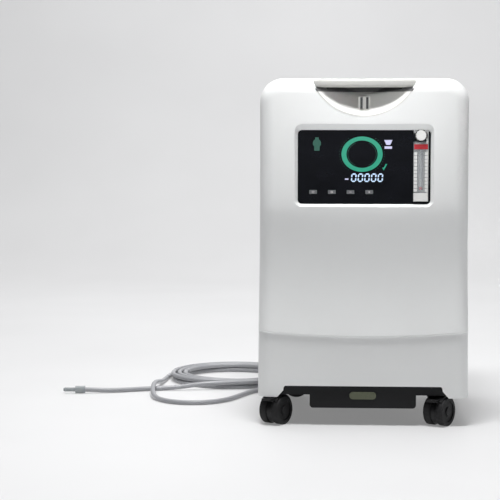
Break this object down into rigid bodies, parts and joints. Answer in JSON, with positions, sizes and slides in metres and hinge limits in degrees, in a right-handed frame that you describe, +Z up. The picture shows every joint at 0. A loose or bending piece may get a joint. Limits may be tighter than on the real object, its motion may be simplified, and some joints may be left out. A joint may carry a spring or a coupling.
{
  "type": "oxygen concentrator",
  "caption": "Floor-standing oxygen concentrator: white two-part housing on twin-wheel casters, black display panel with flow meter, carrying scoop, rear door and coiled outlet tube.",
  "frame": {"origin": "on the floor under the middle of the body's box, the tube left out", "axes": "+Z up, the front with the display faces -Y, +X to the right of a person who faces the front"},
  "size_m": [0.7586, 0.6615, 0.6],
  "materials": {
    "shell_white": "fine satin moulding, cool white",
    "insert_grey": "satin light grey",
    "black_plastic": "fine grained black",
    "panel_black": "polished black overlay",
    "screen_light": "back-lit display picture",
    "circuit_green": "solder resist",
    "key_grey": "satin grey key cap",
    "clear_acrylic": "polished clear block",
    "signal_white": "glossy white",
    "signal_red": "glossy red",
    "badge_metal": "satin, with no mark",
    "caster_black": "nylon, slightly worn",
    "wheel_rubber": "hard black tread",
    "vent_grey": "fine grained light grey",
    "foam_grey": "open-cell foam",
    "chassis_zinc": "zinc-plated sheet",
    "cast_aluminium": "cast and machined",
    "tank_blue_grey": "powder coat",
    "copper": "bare copper",
    "steel": "bright zinc",
    "tube_silicone": "milky translucent",
    "fitting_green": "translucent green"
  },
  "bodies": {
    "root": {"front_cover": "shell_white", "rear_cover": "shell_white", "handle_scoop": "insert_grey", "handle_bar": "insert_grey", "scoop_clip": "black_plastic", "base_pan": "black_plastic", "rear_panel": "black_plastic", "mains_inlet": "black_plastic", "switch_frame": "black_plastic", "breaker_body": "black_plastic", "filter_tray": "black_plastic", "fan_housing": "black_plastic", "needle_valve": "black_plastic", "display_glass": "panel_black", "display_module": "screen_light", "control_board": "circuit_green", "main_board": "circuit_green", "flowmeter_tube": "clear_acrylic", "flowmeter_cap": "signal_white", "base_badge": "badge_metal", "isolation_mounts": "wheel_rubber", "exhaust_grille": "vent_grey", "intake_filter": "foam_grey", "chassis_frame": "chassis_zinc", "transformer": "chassis_zinc", "compressor_body": "cast_aluminium", "compressor_heads": "cast_aluminium", "sieve_tank_left": "cast_aluminium", "sieve_tank_right": "cast_aluminium", "valve_manifold": "cast_aluminium", "product_tank": "tank_blue_grey", "heat_exchanger": "copper", "cover_screws": "steel", "outlet_fitting": "steel", "exhaust_silencer": "steel", "oxygen_tube": "tube_silicone", "tube_lead": "tube_silicone", "tube_coil": "tube_silicone", "internal_hoses": "tube_silicone", "tube_connector": "fitting_green"},
    "fork_front_left": {"caster_fork_front_left": "caster_black"},
    "wheels_front_left": {"caster_wheels_front_left": "wheel_rubber"},
    "pedal_front_left": {"brake_pedal_front_left": "caster_black"},
    "fork_front_right": {"caster_fork_front_right": "caster_black"},
    "wheels_front_right": {"caster_wheels_front_right": "wheel_rubber"},
    "pedal_front_right": {"brake_pedal_front_right": "caster_black"},
    "fork_rear_left": {"caster_fork_rear_left": "caster_black"},
    "wheels_rear_left": {"caster_wheels_rear_left": "wheel_rubber"},
    "fork_rear_right": {"caster_fork_rear_right": "caster_black"},
    "wheels_rear_right": {"caster_wheels_rear_right": "wheel_rubber"},
    "key_power": {"key_power": "key_grey"},
    "key_mode": {"key_mode": "key_grey"},
    "key_less": {"key_less": "key_grey"},
    "key_more": {"key_more": "key_grey"},
    "knob": {"flow_knob": "signal_white"},
    "ball": {"flow_ball": "signal_red"},
    "rocker": {"power_rocker": "black_plastic"},
    "breaker": {"breaker_button": "signal_white"},
    "door": {"filter_door": "vent_grey"},
    "fan": {"fan_rotor": "black_plastic"}
  },
  "joints": [
    {"name": "swivel_front_left", "type": "hinge", "parent": "root", "child": "fork_front_left", "pos_m": [-0.142, -0.138, 0.06], "axis": [0, 0, 1], "continuous": true},
    {"name": "roll_front_left", "type": "hinge", "parent": "fork_front_left", "child": "wheels_front_left", "pos_m": [-0.15101, -0.15242, 0.025], "axis": [0.848, -0.5299, 0], "continuous": true},
    {"name": "brake_front_left", "type": "hinge", "parent": "fork_front_left", "child": "pedal_front_left", "pos_m": [-0.16351, -0.17243, 0.0454], "axis": [0.848, -0.5299, 0], "range_deg": [0, 20]},
    {"name": "swivel_front_right", "type": "hinge", "parent": "root", "child": "fork_front_right", "pos_m": [0.142, -0.138, 0.06], "axis": [0, 0, 1], "continuous": true},
    {"name": "roll_front_right", "type": "hinge", "parent": "fork_front_right", "child": "wheels_front_right", "pos_m": [0.13299, -0.15242, 0.025], "axis": [0.848, -0.5299, 0], "continuous": true},
    {"name": "brake_front_right", "type": "hinge", "parent": "fork_front_right", "child": "pedal_front_right", "pos_m": [0.12048, -0.17243, 0.0454], "axis": [0.848, -0.5299, 0], "range_deg": [0, 20]},
    {"name": "swivel_rear_left", "type": "hinge", "parent": "root", "child": "fork_rear_left", "pos_m": [-0.142, 0.138, 0.06], "axis": [0, 0, 1], "continuous": true},
    {"name": "roll_rear_left", "type": "hinge", "parent": "fork_rear_left", "child": "wheels_rear_left", "pos_m": [-0.12516, 0.14037, 0.025], "axis": [-0.1392, 0.9903, 0], "continuous": true},
    {"name": "swivel_rear_right", "type": "hinge", "parent": "root", "child": "fork_rear_right", "pos_m": [0.142, 0.138, 0.06], "axis": [0, 0, 1], "continuous": true},
    {"name": "roll_rear_right", "type": "hinge", "parent": "fork_rear_right", "child": "wheels_rear_right", "pos_m": [0.14781, 0.12202, 0.025], "axis": [0.9397, 0.342, 0], "continuous": true},
    {"name": "key_power_press", "type": "slide", "parent": "root", "child": "key_power", "axis": [0, 1, 0], "range_m": [0, 0.001], "stiffness_N_per_m": 400},
    {"name": "key_mode_press", "type": "slide", "parent": "root", "child": "key_mode", "axis": [0, 1, 0], "range_m": [0, 0.001], "stiffness_N_per_m": 400},
    {"name": "key_less_press", "type": "slide", "parent": "root", "child": "key_less", "axis": [0, 1, 0], "range_m": [0, 0.001], "stiffness_N_per_m": 400},
    {"name": "key_more_press", "type": "slide", "parent": "root", "child": "key_more", "axis": [0, 1, 0], "range_m": [0, 0.001], "stiffness_N_per_m": 400},
    {"name": "flow_knob_turn", "type": "hinge", "parent": "root", "child": "knob", "pos_m": [0.0965, -0.18, 0.503], "axis": [0, 1, 0], "range_deg": [0, 330]},
    {"name": "flow_ball_rise", "type": "slide", "parent": "root", "child": "ball", "axis": [0, 0, 1], "range_m": [0, 0.066]},
    {"name": "power_rocker_tilt", "type": "hinge", "parent": "root", "child": "rocker", "pos_m": [0.008, 0.1605, 0.32], "axis": [1, 0, 0], "range_deg": [0, 16]},
    {"name": "breaker_reset", "type": "slide", "parent": "root", "child": "breaker", "axis": [0, -1, 0], "range_m": [0, 0.0025], "stiffness_N_per_m": 300},
    {"name": "filter_door_swing", "type": "hinge", "parent": "root", "child": "door", "pos_m": [-0.0746, 0.1846, 0.462], "axis": [0, 0, 1], "range_deg": [0, 110]},
    {"name": "fan_spin", "type": "hinge", "parent": "root", "child": "fan", "pos_m": [0, 0.1685, 0.16], "axis": [0, 1, 0], "continuous": true}
  ]
}
